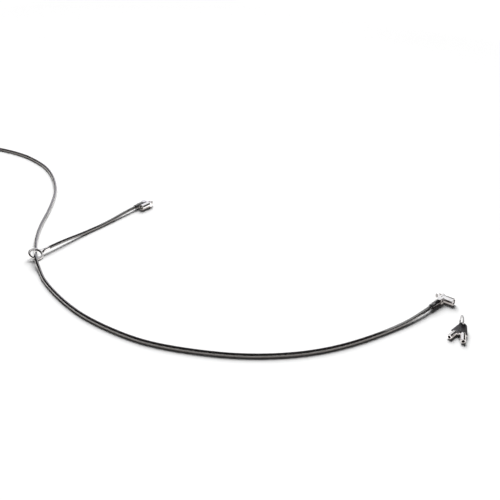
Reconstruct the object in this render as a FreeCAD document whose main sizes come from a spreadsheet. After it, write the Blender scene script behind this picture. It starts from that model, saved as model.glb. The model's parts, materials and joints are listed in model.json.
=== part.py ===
import FreeCAD, Part
import Sketcher
import math
import os

# Twin-head laptop cable lock: a steel cable in a clear-dark jacket with a swivelling lock head on one
# end and a crimped eye on the other, a ring that rides on the cable and carries a second lock head on a
# short tether, and two tubular keys on a split ring.
# Frame: origin at the centre of the laptop head's nose face, +X from the nose to the keyway, +Z up.

Vector = FreeCAD.Vector
doc = FreeCAD.newDocument("cable_lock")
sheet = doc.addObject("Spreadsheet::Sheet", "Sizes")

# Driving dimensions in millimetres, angles in degrees.
dimensions = {
    # what the whole lock lies on
    "floor_drop": (5.2, "floor below the head's axis, the barrel's radius"),
    # barrel of a lock head
    "barrel_radius": (5.2, "outside of the barrel and the nose plate"),
    "barrel_start": (6.7, "front of the fat part of the barrel"),
    "barrel_end": (24.0, "keyway end of the barrel"),
    "barrel_edge": (0.35, "chamfer on the barrel's two rims"),
    "hub_radius": (3.9, "hub that the collar turns on"),
    "plate_thick": (2.4, "nose plate"),
    "washer_thick": (0.25, "thrust washer"),
    "washer_inner": (4.1, "thrust washer's bore radius"),
    "washer_outer": (4.8, "thrust washer's radius"),
    "chamber_start": (8.4, "front wall of the lock chamber"),
    "chamber_radius": (4.2, "lock chamber"),
    "running_gap": (0.05, "radial clearance of a turning fit"),
    "seat_gap": (0.03, "radial clearance of a standing fit"),
    # slot fittings on the nose
    "guide_offset": (2.75, "guide pins off the axis"),
    "guide_radius": (0.7, "guide pins"),
    "guide_reach": (2.0, "guide pins proud of the nose"),
    "guide_depth": (5.0, "guide pins inside the barrel"),
    "tip_back": (2.4, "rear face of the locking head ahead of the nose"),
    "tip_thick": (2.2, "locking head along the axis"),
    "tip_long": (6.4, "locking head across"),
    "tip_wide": (2.6, "locking head's width, and its neck"),
    "shaft_radius": (1.5, "locking shaft"),
    "shaft_end": (14.55, "round part of the shaft ends"),
    "square_end": (16.0, "squared end of the shaft"),
    "square_side": (2.0, "squared end"),
    # pins and drivers
    "stator_start": (9.6, "front of the fixed pin block"),
    "stator_end": (14.5, "rear of the fixed pin block"),
    "stator_radius": (4.15, "fixed pin block"),
    "rotor_start": (14.6, "front of the turning plug"),
    "rotor_end": (17.6, "rear of the turning plug's disc"),
    "rotor_radius": (4.1, "turning plug"),
    "post_radius": (1.9, "keyway's centre post"),
    "post_end": (23.4, "post stops short of the mouth"),
    "stub_radius": (1.2, "post's stub in the plug's disc"),
    "stub_depth": (0.9, "post's stub in the plug's disc"),
    "pin_circle": (2.75, "radius of the ring of pins"),
    "pin_radius": (0.5, "pins and drivers"),
    "pin_hole": (0.55, "pin holes"),
    "pin_hole_start": (10.0, "bottom of the blind pin holes"),
    "driver_start": (12.6, "front of the drivers"),
    "spring_radius": (0.45, "pin springs outside"),
    "spring_wall": (0.14, "pin spring's wire"),
    "sleeve_start": (17.65, "front of the keyway sleeve"),
    "sleeve_bore": (3.6, "keyway sleeve's bore"),
    "clip_start": (8.6, "spindle clip"),
    "clip_thick": (0.45, "spindle clip"),
    "clip_radius": (2.7, "spindle clip outside"),
    "clip_groove": (1.2, "shaft radius in the clip's groove"),
    "clip_mouth": (1.8, "spindle clip's open side"),
    "retainer_at": (12.0, "retaining pin along the axis"),
    "retainer_radius": (0.5, "retaining pin"),
    "retainer_inner": (3.55, "retaining pin's inner end"),
    # collar, hinge and cable end
    "collar_start": (2.7, "front of the collar"),
    "collar_end": (6.5, "rear of the collar round the hub"),
    "collar_half": (4.5, "half the collar's height"),
    "collar_far": (5.2, "collar's edge beyond the axis"),
    "collar_near": (5.5, "hinge lug beside the barrel starts this far off the axis"),
    "collar_edge": (0.35, "chamfer on the collar"),
    "hinge_x": (6.8, "hinge pin along the axis"),
    "hinge_y": (10.5, "hinge pin off the axis"),
    "hinge_radius": (1.3, "hinge pin"),
    "hinge_edge": (0.2, "chamfer on the hinge pin's ends"),
    "ear_radius": (4.1, "rounded end of the collar's ears"),
    "slot_half": (1.75, "half the gap between the ears"),
    "tongue_half": (1.35, "half the tongue's thickness"),
    "tongue_radius": (3.8, "tongue's rounded eye"),
    "tongue_width": (5.2, "tongue's neck"),
    "shank_start": (4.3, "crimped shank from the hinge pin"),
    "shank_end": (11.5, "end of the crimped shank"),
    "shank_radius": (3.5, "crimped shank"),
    "boot_start": (4.5, "boot's front from the hinge pin"),
    "boot_taper": (16.5, "boot starts to taper"),
    "boot_end": (22.4, "boot's rear"),
    "boot_radius": (4.4, "boot"),
    "boot_tail": (3.6, "boot's rear end"),
    "boot_rim": (1.3, "bead round the boot's rear"),
    # cable, coupling ring and eye
    "cable_radius": (2.75, "jacketed cable"),
    "ring_radius": (10.0, "coupling ring's centre line"),
    "ring_section": (2.0, "coupling ring's section radius"),
    "ring_height": (6.7, "coupling ring's centre above the floor"),
    "ring_roll": (28.0, "coupling ring rolled about its stem"),
    "neck_end": (17.2, "coupling ring's neck ends"),
    "neck_radius": (2.7, "neck's thin end"),
    "neck_base": (6.2, "neck's half width on the rim"),
    "neck_base_deep": (1.7, "neck's half depth on the rim"),
    "neck_root": (4.2, "neck where it leaves the rim"),
    "neck_root_deep": (2.2, "neck's half depth where it leaves the rim"),
    "stem_radius": (1.3, "swivel stem"),
    "stem_head": (1.9, "swivel stem's head"),
    "stem_head_start": (18.95, "swivel stem's head from the ring's centre"),
    "stem_head_thick": (1.2, "swivel stem's head"),
    "ferrule_start": (17.35, "ferrule from the ring's centre"),
    "ferrule_end": (27.0, "ferrule's rear"),
    "ferrule_radius": (2.9, "ferrule"),
    "eye_radius": (27.5, "eye's centre line"),
    "sleeve_length": (20.0, "crimp sleeve on the eye"),
    "sleeve_offset": (2.95, "each cable off the sleeve's middle"),
    "sleeve_wall": (1.3, "crimp sleeve's wall"),
    "sleeve_blind": (3.0, "sleeve's closed end over the cable's cut end"),
    # keys and their split ring
    "key_length": (38.0, "whole key"),
    "bow_length": (24.6, "bow and shoulder"),
    "bow_width": (11.4, "bow"),
    "bow_thick": (2.4, "bow"),
    "bow_hole": (3.0, "hole for the split ring"),
    "bow_strip": (2.0, "bow beyond the hole"),
    "panel_depth": (0.3, "recessed panel in the bow"),
    "panel_width": (6.6, "recessed panel"),
    "panel_start": (11.5, "recessed panel from the bow's end"),
    "panel_end": (19.6, "recessed panel"),
    "shoulder_thick": (2.0, "chrome shoulder across the bow's base"),
    "tang_start": (14.0, "front of the tang inside the bow"),
    "tang_width": (5.0, "tang"),
    "tang_thick": (1.1, "tang"),
    "tube_radius": (3.5, "key tube"),
    "tube_bore": (2.05, "key tube's bore"),
    "tube_depth": (7.5, "key tube's bore depth"),
    "lug_side": (0.9, "key's turning lug"),
    "lug_front": (0.8, "turning lug behind the key's mouth"),
    "lug_back": (2.6, "turning lug behind the key's mouth"),
    "fine_edge": (0.3, "small chamfers"),
    "split_radius": (8.2, "split ring's centre line"),
    "split_wire": (0.45, "split ring's wire radius"),
    "split_pitch": (1.15, "split ring's pitch"),
    "split_lean": (7.0, "split ring leans over"),
}
for index, (alias, (value, note)) in enumerate(dimensions.items(), start=1):
    sheet.set(f"A{index}", alias)
    sheet.set(f"B{index}", str(value))
    sheet.set(f"C{index}", note)
    sheet.setAlias(f"B{index}", alias)
doc.recompute()


class Size:
    """A length with its value and the expression that binds it to the sheet."""

    def __init__(self, value, text):
        self.value = value
        self.text = text

    def join(self, other, sign, value):
        return Size(value, f"({self.text} {sign} {other.text})")

    def __add__(self, other):
        other = as_size(other)
        return self.join(other, "+", self.value + other.value)

    def __sub__(self, other):
        other = as_size(other)
        return self.join(other, "-", self.value - other.value)

    def __mul__(self, other):
        other = as_size(other)
        return self.join(other, "*", self.value * other.value)

    def __truediv__(self, other):
        other = as_size(other)
        return self.join(other, "/", self.value / other.value)

    def __neg__(self):
        return Size(-self.value, f"(0 - {self.text})")


def as_size(number):
    return number if isinstance(number, Size) else Size(float(number), f"{float(number):g}")


s = {alias: Size(float(sheet.get(alias)), f"Sizes.{alias}") for alias in dimensions}
v = {alias: size.value for alias, size in s.items()}
floor_z = -v["floor_drop"]
cable_z = floor_z + v["cable_radius"]
pin_count = 8
turn_to_x = FreeCAD.Rotation(Vector(0, 1, 0), 90)
turn_to_minus_y = FreeCAD.Rotation(Vector(1, 0, 0), 90)
upright = FreeCAD.Rotation()
subparts = {}


def bind(item, **sizes):
    for name, size in sizes.items():
        item.setExpression(name, as_size(size).text)


def place(item, x=0, y=0, z=0, rotation=upright):
    where = [as_size(c) for c in (x, y, z)]
    item.Placement = FreeCAD.Placement(Vector(*[c.value for c in where]), rotation)
    for axis, size in zip("xyz", where):
        item.setExpression(f"Placement.Base.{axis}", size.text)
    return item


def rod(name, radius, start, end, y=0, z=0):
    """A cylinder along X from start to end."""
    item = doc.addObject("Part::Cylinder", name)
    bind(item, Radius=radius, Height=as_size(end) - start)
    return place(item, start, y, z, turn_to_x)


def post(name, radius, low, high, x=0, y=0):
    """A cylinder along Z from low to high."""
    item = doc.addObject("Part::Cylinder", name)
    bind(item, Radius=radius, Height=as_size(high) - low)
    return place(item, x, y, low)


def block(name, low, high):
    item = doc.addObject("Part::Box", name)
    sides = [as_size(b) - a for a, b in zip(low, high)]
    bind(item, Length=sides[0], Width=sides[1], Height=sides[2])
    return place(item, *low)


def fused(name, *items):
    joined = doc.addObject("Part::MultiFuse", name)
    joined.Shapes = list(items)
    joined.Refine = True
    return joined


def cut(name, base, tool):
    left = doc.addObject("Part::Cut", name)
    left.Base = base
    left.Tool = tool
    left.Refine = True
    return left


def ring_of(name, maker):
    """Eight copies of a piece round the X axis, as one group of separate solids."""
    group = doc.addObject("Part::Compound", name)
    links = []
    for number in range(pin_count):
        angle = math.radians(360.0 * number / pin_count)
        links.append(maker(f"{name}_{number + 1}", number, s["pin_circle"] * math.cos(angle),
                           s["pin_circle"] * math.sin(angle)))
    group.Links = links
    return group


def turned(name, profile, axis="H_Axis"):
    """A body revolved from an outline of (along, radius) corners in the XY plane."""
    body = doc.addObject("PartDesign::Body", name)
    base = [f for f in body.Origin.OriginFeatures if f.Role == "XY_Plane"][0]
    sketch = body.newObject("Sketcher::SketchObject", f"{name}_outline")
    sketch.AttachmentSupport = [(base, "")]
    sketch.MapMode = "FlatFace"
    corners = [(as_size(a), as_size(r)) for a, r in profile]
    spots = [Vector(a.value, r.value, 0) for a, r in corners]
    if axis == "V_Axis":
        spots = [Vector(p.y, -p.x, 0) for p in spots]
    count = len(spots)
    for i in range(count):
        sketch.addGeometry(Part.LineSegment(spots[i], spots[(i + 1) % count]), False)
    for i in range(count):
        sketch.addConstraint(Sketcher.Constraint("Coincident", i, 2, (i + 1) % count, 1))
    for i, (along, radius) in enumerate(corners):
        pair = (along, radius) if axis == "H_Axis" else (radius, -along)
        for kind, size, line in (("DistanceX", pair[0], -2), ("DistanceY", pair[1], -1)):
            if abs(size.value) < 1e-9:
                sketch.addConstraint(Sketcher.Constraint("PointOnObject", i, 1, line))
            else:
                number = sketch.addConstraint(Sketcher.Constraint(kind, -1, 1, i, 1, size.value))
                sketch.setExpression(f"Constraints[{number}]", size.text)
    spun = body.newObject("PartDesign::Revolution", f"{name}_turn")
    spun.Profile = sketch
    spun.ReferenceAxis = (sketch, [axis])
    spun.Angle = 360
    sketch.Visibility = False
    return body


def drilled(name, base, holes):
    """The base with its holes cut, as one named piece."""
    tools = fused(f"{name}_holes", *holes) if len(holes) > 1 else holes[0]
    return cut(name, base, tools)


def chamfered(name, base, size, wanted):
    """The base with every edge chamfered that the test picks."""
    doc.recompute()
    edged = doc.addObject("Part::Chamfer", name)
    edged.Base = base
    picks = [i + 1 for i, edge in enumerate(base.Shape.Edges) if wanted(edge)]
    edged.Edges = [(i, size.value, size.value) for i in picks]
    return edged


def keep(node, item, placement=None):
    """Names a finished sub-part and puts it where it belongs."""
    item.Label = node
    if placement is not None:
        item.Placement = placement.multiply(item.Placement)
    subparts[node] = item
    return item


def corner(a, q, b, radius):
    """The tangent points and middle of an arc of this radius that rounds the corner at q."""
    to_a = (a - q).normalize()
    to_b = (b - q).normalize()
    half = to_a.getAngle(to_b) / 2
    reach = radius / math.tan(half)
    inward = (to_a + to_b).normalize()
    middle = q + inward * (radius / math.sin(half) - radius)
    return q + to_a * reach, middle, q + to_b * reach


def cable_path(points):
    """Straight runs joined by tangent arcs, each as large as its two runs allow."""
    edges = []
    radii = []
    here = points[0]
    for a, q, b in zip(points, points[1:], points[2:]):
        turn = (q - a).getAngle(b - q)
        run = min((q - a).Length, (b - q).Length)
        radius = 0.45 * run / math.tan(turn / 2)
        start, middle, end = corner(a, q, b, radius)
        edges.append(Part.LineSegment(here, start).toShape())
        edges.append(Part.Arc(start, middle, end).toShape())
        radii.append(radius)
        here = end
    edges.append(Part.LineSegment(here, points[-1]).toShape())
    return Part.Wire(edges), radii


def pipe(path, radius):
    """A round tube along a smooth path."""
    first = path.Edges[0]
    start = first.valueAt(first.FirstParameter)
    heading = first.tangentAt(first.FirstParameter)
    section = Part.Wire(Part.makeCircle(radius, start, heading))
    shell = Part.BRepOffsetAPI.MakePipeShell(path)
    shell.add(section)
    shell.build()
    shell.makeSolid()
    return shell.shape()


def feature(name, shape):
    item = doc.addObject("Part::Feature", name)
    item.Shape = shape
    return item


def report_tube(name, shape, path, radii):
    section = math.pi * v["cable_radius"] ** 2
    print(f"{name}: length {path.Length:.1f} mm, tightest radius {min(radii):.1f} mm, "
          f"volume over section x length {shape.Volume / (section * path.Length):.4f}")


def biarc(p, t, q, u):
    """Two tangent arcs from p, heading t, to q, heading u."""
    gap = q - p
    both = t + u
    bend = 2 * (1 - t.dot(u))
    reach = (-gap.dot(both) + math.sqrt(gap.dot(both) ** 2 + bend * gap.dot(gap))) / bend
    first = p + t * reach
    second = q - u * reach
    joint = (first + second) * 0.5
    arcs = []
    for a, c, b in ((p, first, joint), (joint, second, q)):
        half = (a - c).getAngle(b - c) / 2
        radius = (a - c).Length * math.tan(half)
        inward = ((a - c).normalize() + (b - c).normalize()).normalize()
        arcs.append(Part.Arc(a, c + inward * (radius / math.sin(half) - radius), b).toShape())
    return arcs


def winding(radius, pitch, start, turns):
    """A round coil about Z, in biarcs of a quarter turn or less."""
    steps = math.ceil(turns * 4)

    def at(k):
        angle = math.radians(start + 360 * turns * k / steps)
        height = pitch * turns * (k / steps - 0.5)
        spot = Vector(radius * math.cos(angle), radius * math.sin(angle), height)
        heading = Vector(-math.sin(angle), math.cos(angle), pitch / (2 * math.pi * radius))
        return spot, heading.normalize()

    edges = []
    for k in range(steps):
        p, t = at(k)
        q, u = at(k + 1)
        edges += biarc(p, t, q, u)
    return Part.Wire(edges)


def least_gap(path, wire_radius, apart):
    """The least gap between a coil's turns, measured on points at least this far apart along it."""
    points = path.discretize(Number=400)
    step = path.Length / 399
    skip = int(apart / step)
    least = min((points[i] - points[j]).Length for i in range(400) for j in range(i + skip, 400))
    return least - 2 * wire_radius


def slot_head(name):
    """The oblong locking head that turns behind the slot, on its neck and shaft."""
    back = -s["tip_back"]
    front = back - s["tip_thick"]
    reach = (s["tip_long"] - s["tip_wide"]) / 2
    half = s["tip_wide"] / 2
    flat = block(f"{name}_flat", (front, -half, -reach), (back, half, reach))
    upper = rod(f"{name}_upper", half, front, back, 0, reach)
    lower = rod(f"{name}_lower", half, front, back, 0, -reach)
    groove = s["clip_start"] - s["seat_gap"]
    groove_end = s["clip_start"] + s["clip_thick"] + s["seat_gap"]
    shaft = turned(f"{name}_shaft", [
        (back - 0.2, 0), (back - 0.2, half), (0.2, half), (0.4, s["shaft_radius"]),
        (groove, s["shaft_radius"]), (groove, s["clip_groove"]), (groove_end, s["clip_groove"]),
        (groove_end, s["shaft_radius"]), (s["shaft_end"], s["shaft_radius"]), (s["shaft_end"], 0)])
    side = s["square_side"] / 2
    square = block(f"{name}_square", (s["shaft_end"] - 0.1, -side, -side), (s["square_end"], side, side))
    return fused(name, flat, upper, lower, shaft, square)


def radial_hole(name, radius, inner, outer, along, angle):
    """A cylinder square to the X axis, from the inner to the outer radius, at this angle from Y."""
    item = doc.addObject("Part::Cylinder", name)
    bind(item, Radius=radius, Height=as_size(outer) - inner)
    aim = FreeCAD.Rotation(Vector(1, 0, 0), angle - 90)
    spread = math.radians(angle)
    return place(item, along, as_size(inner) * math.cos(spread), as_size(inner) * math.sin(spread), aim)


def make_nose(tag):
    bore = s["shaft_radius"] + s["running_gap"]
    rim = s["barrel_radius"] - s["barrel_edge"]
    plate = turned(f"{tag}_plate_blank", [
        (0, bore), (0, rim), (s["barrel_edge"], s["barrel_radius"]),
        (s["plate_thick"], s["barrel_radius"]), (s["plate_thick"], bore)])
    hole = s["guide_radius"] + s["seat_gap"] / 2
    holes = [rod(f"{tag}_plate_hole_{i}", hole, -1, s["plate_thick"] + 1, s["guide_offset"] * i)
             for i in (-1, 1)]
    pins = doc.addObject("Part::Compound", f"{tag}_guides")
    pins.Links = [rod(f"{tag}_guide_{i}", s["guide_radius"], -s["guide_reach"], s["guide_depth"],
                      s["guide_offset"] * i) for i in (-1, 1)]
    washer = turned(f"{tag}_washer", [
        (s["plate_thick"], s["washer_inner"]), (s["plate_thick"], s["washer_outer"]),
        (s["plate_thick"] + s["washer_thick"], s["washer_outer"]),
        (s["plate_thick"] + s["washer_thick"], s["washer_inner"])])
    return drilled(f"{tag}_plate", plate, holes), pins, washer


def make_barrel(tag, retainer_angle):
    bore = s["shaft_radius"] + s["running_gap"]
    edge = s["barrel_edge"]
    shell = turned(f"{tag}_shell_blank", [
        (s["plate_thick"], bore), (s["plate_thick"], s["hub_radius"]), (s["barrel_start"], s["hub_radius"]),
        (s["barrel_start"], s["barrel_radius"] - edge), (s["barrel_start"] + edge, s["barrel_radius"]),
        (s["barrel_end"] - edge, s["barrel_radius"]), (s["barrel_end"], s["barrel_radius"] - edge),
        (s["barrel_end"], s["chamber_radius"]), (s["chamber_start"], s["chamber_radius"]),
        (s["chamber_start"], bore)])
    hole = s["guide_radius"] + s["seat_gap"] / 2
    holes = [rod(f"{tag}_guide_hole_{i}", hole, 0, s["guide_depth"] + 0.1, s["guide_offset"] * i)
             for i in (-1, 1)]
    pin_hole = s["retainer_radius"] + s["seat_gap"] / 2
    holes.append(radial_hole(f"{tag}_retainer_hole", pin_hole, s["chamber_radius"] - 0.4,
                             s["barrel_radius"] + 1, s["retainer_at"], retainer_angle))
    return drilled(f"{tag}_shell", shell, holes)


def make_sleeve(tag):
    outer = s["chamber_radius"] - s["seat_gap"]
    return turned(f"{tag}_sleeve", [
        (s["sleeve_start"], s["sleeve_bore"]), (s["sleeve_start"], outer), (s["barrel_end"], outer),
        (s["barrel_end"], s["sleeve_bore"] + 0.2), (s["barrel_end"] - 0.2, s["sleeve_bore"])])


def make_stator(tag, retainer_angle):
    bore = s["shaft_radius"] + s["running_gap"]
    blank = turned(f"{tag}_stator_blank", [
        (s["stator_start"], bore), (s["stator_start"], s["stator_radius"]),
        (s["stator_end"], s["stator_radius"]), (s["stator_end"], bore)])
    holes = ring_of(f"{tag}_stator_bores", lambda name, number, y, z: rod(
        name, s["pin_hole"], s["pin_hole_start"], s["stator_end"] + 1, y, z))
    pin_hole = s["retainer_radius"] + s["seat_gap"] / 2
    side_hole = radial_hole(f"{tag}_stator_side", pin_hole, s["retainer_inner"] - 0.05,
                            s["stator_radius"] + 1, s["retainer_at"], retainer_angle)
    return cut(f"{tag}_stator", cut(f"{tag}_stator_bored", blank, holes), side_hole)


def make_retainer(tag, retainer_angle):
    pin = turned(f"{tag}_retainer", [
        (s["retainer_inner"], 0), (s["retainer_inner"], s["retainer_radius"]),
        (s["barrel_radius"] - 0.06, s["retainer_radius"]), (s["barrel_radius"] - 0.06, 0)], "V_Axis")
    pin.Placement = FreeCAD.Placement(Vector(v["retainer_at"], 0, 0),
                                      FreeCAD.Rotation(Vector(1, 0, 0), retainer_angle - 180))
    return pin


def make_rotor(tag):
    """The turning plug's disc, with a seat for the centre post in its rear face."""
    seat = s["stub_radius"] + s["seat_gap"]
    seat_end = s["rotor_end"] - s["stub_depth"] - s["seat_gap"]
    blank = turned(f"{tag}_rotor_blank", [
        (s["rotor_start"], 0), (s["rotor_start"], s["rotor_radius"]), (s["rotor_end"], s["rotor_radius"]),
        (s["rotor_end"], seat), (seat_end, seat), (seat_end, 0)])
    holes = ring_of(f"{tag}_rotor_bores", lambda name, number, y, z: rod(
        name, s["pin_hole"], s["rotor_start"] - 1, s["rotor_end"] + 0.5, y, z))
    side = s["square_side"] / 2 + s["seat_gap"]
    socket = block(f"{tag}_socket", (s["rotor_start"] - 1, -side, -side),
                   (s["square_end"] + 0.15, side, side))
    return cut(f"{tag}_rotor", cut(f"{tag}_rotor_bored", blank, holes), socket)


def make_post(tag):
    """The post in the middle of the keyway, with the notch that the key's lug turns it by."""
    edge = s["barrel_edge"]
    stub_start = s["rotor_end"] - s["stub_depth"]
    blank = turned(f"{tag}_post_blank", [
        (stub_start, 0), (stub_start, s["stub_radius"]), (s["rotor_end"], s["stub_radius"]),
        (s["rotor_end"], s["post_radius"]), (s["post_end"] - edge, s["post_radius"]),
        (s["post_end"], s["post_radius"] - edge), (s["post_end"], 0)])
    notch_half = s["lug_side"] / 2 + 0.1
    notch = block(f"{tag}_notch", (s["rotor_end"] + 1.5, -notch_half, s["post_radius"] - 0.7),
                  (s["post_end"] + 1, notch_half, s["post_radius"] + 1))
    return cut(f"{tag}_post", blank, notch)


def make_pins(tag):
    """Key pins of four lengths, the drivers behind them and a spring sleeve behind each driver."""
    cuts = (0.0, 0.3, 0.15, 0.45)
    key_pins = ring_of(f"{tag}_key_pins", lambda name, number, y, z: rod(
        name, s["pin_radius"], s["rotor_start"], s["rotor_end"] + 0.25 - cuts[number * 3 % 4], y, z))
    drivers = ring_of(f"{tag}_drivers", lambda name, number, y, z: rod(
        name, s["pin_radius"], s["driver_start"], s["stator_end"] - 0.02, y, z))

    def spring(name, number, y, z):
        start = s["pin_hole_start"] + 0.02
        end = s["driver_start"] - 0.02
        outer = rod(f"{name}_outside", s["spring_radius"], start, end, y, z)
        inner = rod(f"{name}_inside", s["spring_radius"] - s["spring_wall"], start - 1, end + 1, y, z)
        return cut(name, outer, inner)

    return key_pins, drivers, ring_of(f"{tag}_springs", spring)


def make_clip(tag):
    inner = s["clip_groove"] + s["seat_gap"]
    end = s["clip_start"] + s["clip_thick"]
    whole = turned(f"{tag}_clip_blank", [
        (s["clip_start"], inner), (s["clip_start"], s["clip_radius"]),
        (end, s["clip_radius"]), (end, inner)])
    half_mouth = s["clip_mouth"] / 2
    mouth = block(f"{tag}_clip_mouth", (s["clip_start"] - 1, -half_mouth, 0),
                  (end + 1, half_mouth, s["clip_radius"] + 1))
    return cut(f"{tag}_clip", whole, mouth)


def make_collar(tag):
    """The ring round the hub, with the two-eared hinge lug that stands beside the barrel."""
    x, y = s["hinge_x"], -s["hinge_y"]
    half = s["collar_half"]
    near = -s["collar_near"]
    solid = fused(f"{tag}_collar_solid",
                  block(f"{tag}_collar_block", (s["collar_start"], near, -half),
                        (s["collar_end"], s["collar_far"], half)),
                  block(f"{tag}_collar_lug", (s["collar_start"], y, -half), (x + s["ear_radius"], near, half)),
                  post(f"{tag}_collar_ears", s["ear_radius"], -half, half, x, y))
    limit = v["collar_half"]

    def on_a_flat_side(edge):
        return all(abs(abs(vertex.Z) - limit) < 1e-6 for vertex in edge.Vertexes)

    edged = chamfered(f"{tag}_collar_edged", solid, s["collar_edge"], on_a_flat_side)
    reach = s["ear_radius"] + 1
    holes = [
        rod(f"{tag}_collar_bore", s["hub_radius"] + s["running_gap"], s["collar_start"] - 1,
            s["collar_end"] + 1),
        block(f"{tag}_collar_slot", (x - reach, y - reach, -s["slot_half"]),
              (x + reach, y + s["ear_radius"], s["slot_half"])),
        post(f"{tag}_collar_pin_hole", s["hinge_radius"] + s["seat_gap"], -half - 1, half + 1, x, y)]
    return drilled(f"{tag}_collar", edged, holes)


def make_hinge_pin(tag):
    half = s["collar_half"]
    radius = s["hinge_radius"]
    edge = s["hinge_edge"]
    pin = turned(f"{tag}_hinge_pin", [
        (-half, 0), (-half, radius - edge), (edge - half, radius), (half - edge, radius),
        (half, radius - edge), (half, 0)], "V_Axis")
    pin.Placement = FreeCAD.Placement(Vector(v["hinge_x"], -v["hinge_y"], 0), turn_to_minus_y)
    return pin


def make_terminal(tag):
    """The eye end that is crimped on the cable, with the hinge pin at the origin and the cable to -Y."""
    half = s["tongue_half"]
    neck = s["tongue_width"] / 2
    shank = turned(f"{tag}_shank", [
        (s["shank_start"], 0), (s["shank_start"], s["shank_radius"] - s["fine_edge"]),
        (s["shank_start"] + s["fine_edge"], s["shank_radius"]), (s["shank_end"], s["shank_radius"]),
        (s["shank_end"], 0)], "V_Axis")
    solid = fused(f"{tag}_terminal_solid",
                  post(f"{tag}_tongue_eye", s["tongue_radius"], -half, half),
                  block(f"{tag}_tongue", (-neck, -s["shank_start"] - 0.5, -half), (neck, 0, half)),
                  shank)
    hole = post(f"{tag}_tongue_hole", s["hinge_radius"] + s["running_gap"], -half - 1, half + 1)
    return cut(f"{tag}_terminal", solid, hole)


def make_boot(tag):
    over_shank = s["shank_radius"] + s["seat_gap"]
    over_cable = s["cable_radius"] + s["seat_gap"]
    edge = s["fine_edge"]
    rim = s["boot_end"] - s["boot_rim"]
    return turned(f"{tag}_boot", [
        (s["boot_start"], over_shank), (s["boot_start"], s["boot_radius"] - edge),
        (s["boot_start"] + edge, s["boot_radius"]), (s["boot_taper"], s["boot_radius"]),
        (rim - 0.2, s["boot_tail"]), (rim, s["boot_tail"] + edge),
        (s["boot_end"] - edge, s["boot_tail"] + edge), (s["boot_end"], s["boot_tail"]),
        (s["boot_end"], over_cable), (s["shank_end"], over_cable), (s["shank_end"], over_shank)], "V_Axis")


def make_head(tag, nose, azimuth, fold):
    """One whole lock head, with its cable end folded round the hinge pin by this angle."""
    retainer_angle = -67.5
    where = FreeCAD.Placement(nose, FreeCAD.Rotation(Vector(0, 0, 1), azimuth))
    hinge = FreeCAD.Placement(Vector(v["hinge_x"], -v["hinge_y"], 0),
                              FreeCAD.Rotation(Vector(0, 0, 1), fold))
    cable_end = where.multiply(hinge)
    plate, guides, washer = make_nose(tag)
    key_pins, drivers, springs = make_pins(tag)
    pieces = {
        "nose_plate": plate, "guide_pins": guides, "thrust_washer": washer,
        "swivel_collar": make_collar(tag), "hinge_pin": make_hinge_pin(tag),
        "barrel_shell": make_barrel(tag, retainer_angle), "keyway_sleeve": make_sleeve(tag),
        "stator": make_stator(tag, retainer_angle), "retaining_pin": make_retainer(tag, retainer_angle),
        "rotor": make_rotor(tag), "keyway_post": make_post(tag),
        "key_pins": key_pins, "driver_pins": drivers, "pin_springs": springs,
        "locking_tip": slot_head(f"{tag}_tip"), "spindle_clip": make_clip(tag)}
    for piece, item in pieces.items():
        keep(f"{tag}_{piece}", item, where)
    keep(f"{tag}_cable_terminal", make_terminal(tag), cable_end)
    keep(f"{tag}_cable_boot", make_boot(tag), cable_end)
    return cable_end


def ellipse(name, across, deep, along):
    """An upright ellipse on the X axis, as a section of the ring's neck."""
    item = doc.addObject("Part::Ellipse", name)
    item.MajorRadius = across
    item.MinorRadius = deep
    item.Placement = FreeCAD.Placement(Vector(along, 0, 0), FreeCAD.Rotation(
        Vector(0, 1, 0), Vector(0, 0, 1), Vector(1, 0, 0), "ZXY"))
    return item


def make_coupling(where):
    """The ring that rides on the cable, with its neck and swivel stem along X, and the ferrule."""
    torus = doc.addObject("Part::Torus", "ring_hoop")
    bind(torus, Radius1=s["ring_radius"], Radius2=s["ring_section"])
    neck = doc.addObject("Part::Loft", "ring_neck")
    sections = ((v["ring_radius"] - 0.6, v["neck_base"], v["neck_base_deep"]),
                (v["ring_radius"] + 3.2, v["neck_root"], v["neck_root_deep"]),
                (v["neck_end"], v["neck_radius"], v["neck_radius"] - 0.01))
    neck.Sections = [ellipse(f"neck_section_{i}", across, deep, along)
                     for i, (along, across, deep) in enumerate(sections)]
    neck.Solid = True
    head_start = s["stem_head_start"]
    head_end = head_start + s["stem_head_thick"]
    stem = turned("ring_stem", [
        (s["neck_end"] - 0.5, 0), (s["neck_end"] - 0.5, s["stem_radius"]), (head_start, s["stem_radius"]),
        (head_start, s["stem_head"]), (head_end, s["stem_head"]), (head_end, 0)])
    keep("coupling_ring", fused("ring_solid", torus, neck, stem), where)
    gap = s["running_gap"]
    edge = s["fine_edge"]
    cavity = head_start - gap
    cavity_end = head_end + s["running_gap"] + 0.1
    ferrule = turned("ferrule", [
        (s["ferrule_start"], s["stem_radius"] + gap), (s["ferrule_start"], s["ferrule_radius"] - edge),
        (s["ferrule_start"] + edge, s["ferrule_radius"]), (s["ferrule_end"] - edge, s["ferrule_radius"]),
        (s["ferrule_end"], s["ferrule_radius"] - edge), (s["ferrule_end"], 0),
        (cavity_end, 0), (cavity_end, s["stem_head"] + gap), (cavity, s["stem_head"] + gap),
        (cavity, s["stem_radius"] + gap)])
    keep("ring_ferrule", ferrule, where)


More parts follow.
